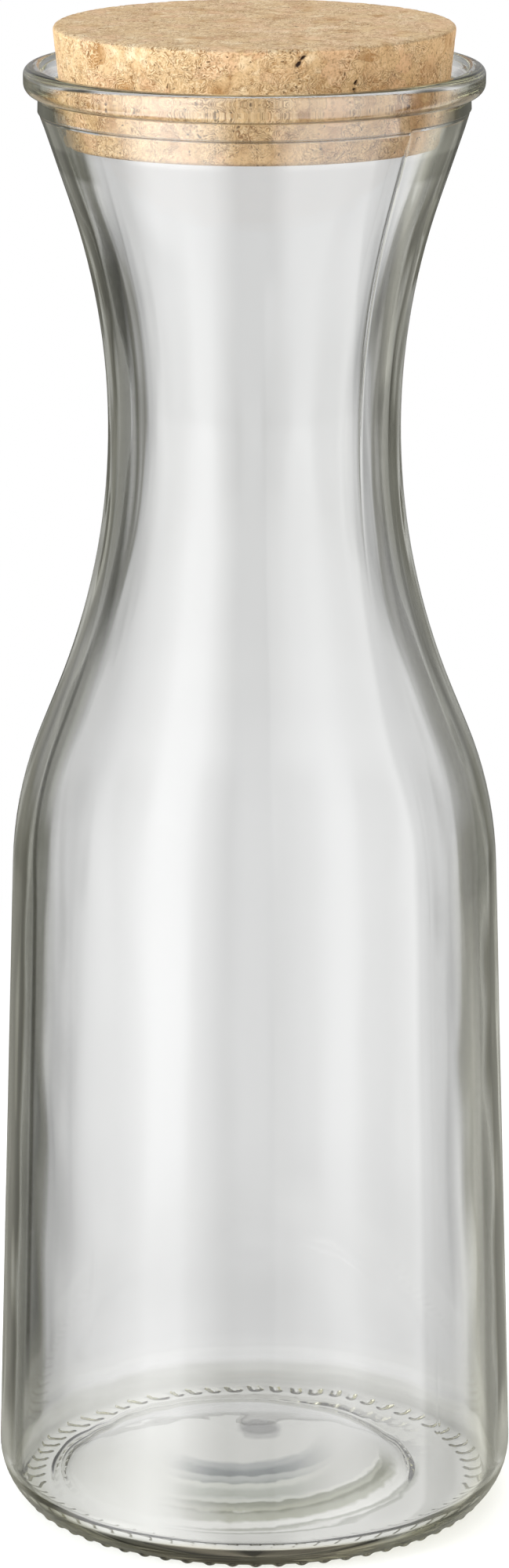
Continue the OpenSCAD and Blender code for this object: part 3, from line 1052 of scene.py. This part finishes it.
# The same for what lies higher, as a factor, for the table, and for the wall at the back
UPPER = (
    (-180, 0.4), (-150, 0.55), (-128, 1.2), (100, 1.2), (112, 0.8), (124, 0.35), (180, 0.4))
TABLE = (
    (-180, 0.05), (-125, 0.08), (-100, 0.45), (-72, 0.95), (-50, 1.0), (-30, 0.8), (-12, 0.1),
    (12, 0.1), (26, 0.6), (58, 0.6), (72, 0.48), (100, 0.22), (125, 0.08), (180, 0.05))
REAR = (-180, 1), (-122, 1), (-100, 0), (100, 0), (122, 1), (180, 1)
# Brightness of what shows through the glass: stripes, from a stripe's dark middle outwards
STRIPES = 8
STRIPE_TONES = (0.0, 0.08), (0.29, 0.07), (0.43, 0.30), (0.58, 0.70), (0.73, 1.0), (1.0, 1.0)
# Where these parts start and end, by the height of a direction: -1 is down and 1 is up
UPPER_START, TABLE_LOW, TABLE_HIGH = (-0.275, -0.235), (-0.86, -0.78), (-0.66, -0.56)
REAR_LOW, REAR_HIGH, GROUND = (-0.13, -0.04), (0.2, 0.35), (-0.92, -0.84)
STRIPE_SHIFT, STRIPE_LOW, STRIPE_HIGH = (-0.24, -0.20), (-0.46, -0.40), (-0.27, -0.17)
STRIPE_DIM, FLOOR_SEEN = (-0.35, -0.31), (-0.58, -0.42)
# How much higher stripes are wider, how bright lower ones are, and where light turns cool
STRIPE_WIDER, STRIPE_DIM_SHARE, COOLED = 0.12, 0.84, (0.1, 0.6)
# Strengths and colours of these lights
MIRROR_LIGHT, PLAIN_LIGHT, SCATTERED_LIGHT, SCATTERED_PASSED = 5.2, 0.5, 0.5, 0.42
REAR_LIGHT, GROUND_LIGHT, FLOOR_LIGHT, SOFT_SHARE, SOFT_LIGHT = 0.035, 0.05, 0.85, 0.68, 0.25
WHITE, OLIVE, WARM, SAND = (1.0, 1.0, 1.0), (1.0, 0.99, 0.86), (1.0, 0.94, 0.84), (1.0, 0.9, 0.66)
COOL = (0.968, 0.975, 1.0)

# The floor: where it turns from lit to plain white, and the disc that shows through the glass,
# which glows with painted light and has a painted shadow under the foot, all as distances from the
# axis in metres
FLOOR_WHITE, DISC_EDGE, DISC_END = (0.08, 0.4), (0.041, 0.045), (0.05, 0.085)
DISC_GLOW, DISC_FOOT_SHADOW = (0.768, 0.772, 0.749), (0.61, 0.614, 0.595)
FLOOR_COLOUR = (0.96, 0.96, 0.96, 1)
NEAR_CLIP = 0.05
BOUNCES = {
    "max_bounces": 32, "glossy_bounces": 24, "transmission_bounces": 32,
    "transparent_max_bounces": 32}


def add_lamp(name, place, size, power, colour):
    """A soft rectangular lamp that shines at the carafe and shows in no reflection."""
    data = bpy.data.lights.new(name, "AREA")
    data.shape = "RECTANGLE"
    data.size, data.size_y = size
    data.energy = power
    data.color = colour
    lamp = bpy.data.objects.new(name, data)
    lamp.location = place
    lamp.rotation_euler = (LAMPS_AIM - Vector(place)).to_track_quat("-Z", "Y").to_euler()
    lamp.visible_glossy = False
    lamp.visible_transmission = False
    bpy.context.scene.collection.objects.link(lamp)


def ring(tree, turn, stops):
    """The number that stops give at a direction."""
    return tree.level(turn, [(0.5 + angle / 360, value) for angle, value in stops])


def mirrored_light(tree, turn, z):
    """Brightness and colour of the studio as the glass mirrors it."""
    light = ring(tree, turn, MIRRORED) * tree.level(z * 0.5 + 0.5, MIRRORED_HEIGHTS)
    light = light * (1 + tree.range(z, *UPPER_START) * (ring(tree, turn, UPPER) - 1))
    on_table = tree.range(z, *TABLE_LOW) * tree.fall(z, *TABLE_HIGH)
    light = light * (1 - on_table) + ring(tree, turn, TABLE) * on_table
    rear, high = ring(tree, turn, REAR), tree.range(z, *REAR_LOW)
    light = light + rear * high * tree.range(z, *REAR_HIGH, REAR_LIGHT, 0.0)
    ground = tree.fall(z, *GROUND)
    light = light + ground * GROUND_LIGHT
    return light, tree.mix(ground, tree.mix(rear * (1 - high), WHITE, OLIVE), SAND)


def passed_light(tree, turn, z):
    """Brightness and colour of the studio as it shows through the glass."""
    stripe = tree.maths("PINGPONG", turn * STRIPES + 0.5, 0.5) * 2
    light = tree.level(stripe + tree.range(z, *STRIPE_SHIFT, 0, STRIPE_WIDER), STRIPE_TONES)
    sharp = tree.range(z, *STRIPE_LOW) * tree.fall(z, *STRIPE_HIGH)
    light = light * sharp + (light * SOFT_SHARE + SOFT_LIGHT) * (1 - sharp)
    light = light * tree.range(z, *STRIPE_DIM, STRIPE_DIM_SHARE, 1.0)
    down = tree.fall(z, *FLOOR_SEEN)
    light = light * (1 - down) + down * FLOOR_LIGHT
    return light, tree.mix(tree.range(light, *COOLED), OLIVE, COOL)


def studio_world(studio):
    """Plain white for the camera, and a ring of soft lamps and screens for the glass."""
    world = bpy.data.worlds.new("studio")
    bpy.context.scene.world = world
    tree = Tree(world)
    x, y, z = tree.numbers(tree.add("ShaderNodeTexCoord", output="Generated"))
    turn = tree.maths("ARCTAN2", x, y * -1.0) / FULL_TURN + 0.5
    mirrored, reflected = mirrored_light(tree, turn, z)
    through, refracted = passed_light(tree, turn, z)
    camera, glossy, passed, depth = tree.path(
        "Is Camera Ray", "Is Glossy Ray", "Is Transmission Ray", "Diffuse Depth")
    scattered = depth.above(0.5)
    mirror = glossy * (1 - passed)
    plain_ray = (1 - camera) * (1 - glossy) * (1 - passed) * (1 - scattered)
    clear_ray = (1 - camera) * (1 - scattered)
    strength = (
        camera
        + clear_ray * (mirror * mirrored * MIRROR_LIGHT + passed * through * studio.behind)
        + plain_ray * PLAIN_LIGHT + scattered * (SCATTERED_LIGHT + passed * SCATTERED_PASSED))
    refracted = tree.mix(scattered, refracted, WARM)
    colour = tree.mix(camera, tree.mix(passed, reflected, refracted), WHITE)
    tree.end(
        tree.add("ShaderNodeBackground", None, {"Color": colour, "Strength": strength}),
        kind="ShaderNodeOutputWorld")


def floor_material():
    """White that takes the carafe's shadow, with a disc of painted light where it shows through
    glass, darker under the foot as a painted shadow.
    """
    material = bpy.data.materials.new("white_floor")
    tree = Tree(material)
    far = tree.vector("LENGTH", tree.add("ShaderNodeTexCoord", output="Object"), output="Value")
    lit = tree.add("ShaderNodeBsdfDiffuse", None, {"Color": FLOOR_COLOUR})
    white = tree.add("ShaderNodeEmission", None, {"Color": (1, 1, 1, 1), "Strength": 1.0})
    # Painted light and shadow: the disc glows, and is darker under the foot
    disc = tree.mix(tree.range(far, *DISC_EDGE), DISC_GLOW, DISC_FOOT_SHADOW)
    glowing_disc = tree.add("ShaderNodeEmission", None, {"Color": disc, "Strength": 1.0})
    open_air = tree.add("ShaderNodeBsdfTransparent")
    seen = tree.choose(tree.range(far, *FLOOR_WHITE), lit, white)
    behind = tree.choose(tree.range(far, *DISC_END), glowing_disc, open_air)
    tree.end(tree.choose(tree.path("Is Transmission Ray")[0], seen, behind))
    return material


class BuildStage(bpy.types.Operator):
    """Set up the floor, the lamps, the world and the camera."""
    bl_idname = "carafe.build_stage"
    bl_label = "Stage"

    def execute(self, context):
        scene = context.scene
        studio = scene.carafe_studio
        mesh = bmesh.new()
        bmesh.ops.create_circle(
            mesh, cap_ends=True, segments=FLOOR_SIDES, radius=studio.floor_radius)
        data = bpy.data.meshes.new("floor")
        mesh.to_mesh(data)
        mesh.free()
        floor = bpy.data.objects.new("floor", data)
        scene.collection.objects.link(floor)
        floor.data.materials.append(floor_material())
        floor.visible_glossy = False
        studio_world(studio)
        for lamp in LAMPS:
            add_lamp(*lamp)
        lens = bpy.data.cameras.new("camera")
        lens.lens = studio.lens
        lens.clip_start = NEAR_CLIP
        camera = bpy.data.objects.new("camera", lens)
        camera.location = (
            0, -studio.distance * math.cos(studio.pitch),
            studio.target_height + studio.distance * math.sin(studio.pitch))
        camera.rotation_euler = (math.pi / 2 - studio.pitch, 0, 0)
        scene.collection.objects.link(camera)
        scene.camera = camera
        scene.view_settings.view_transform = "Standard"
        for name, count in BOUNCES.items():
            setattr(scene.cycles, name, count)
        return {"FINISHED"}


class CARAFE_PT_panel(bpy.types.Panel):
    """Lists the pieces of the carafe."""
    bl_label = "Water carafe"
    bl_idname = "CARAFE_PT_panel"
    bl_space_type = "VIEW_3D"
    bl_region_type = "UI"
    bl_category = "Carafe"

    def draw(self, context):
        for operator in OPERATORS:
            self.layout.operator(operator.bl_idname)
        for name in SETTINGS:
            group = getattr(context.scene, name)
            box = self.layout.box()
            for key in group.__annotations__:
                box.prop(group, key)


SETTINGS = {
    "carafe_shape": CarafeShape,
    "carafe_flow": CarafeFlow,
    "glass_look": GlassLook,
    "cork_shape": CorkShape,
    "cork_look": CorkLook,
    "carafe_studio": Studio,
}
OPERATORS = (BuildStage, BuildGlass, BuildStopper)


def register():
    for group in SETTINGS.values():
        bpy.utils.register_class(group)
    for name, group in SETTINGS.items():
        setattr(bpy.types.Scene, name, bpy.props.PointerProperty(type=group))
    for cls in (*OPERATORS, CARAFE_PT_panel):
        bpy.utils.register_class(cls)


def unregister():
    for cls in (CARAFE_PT_panel, *reversed(OPERATORS)):
        bpy.utils.unregister_class(cls)
    for name in SETTINGS:
        delattr(bpy.types.Scene, name)
    for group in reversed(SETTINGS.values()):
        bpy.utils.unregister_class(group)


def main():
    register()
    bpy.ops.carafe.build_stage()
    bpy.ops.carafe.build_glass()
    bpy.ops.carafe.build_stopper()


if __name__ == "__main__":
    main()
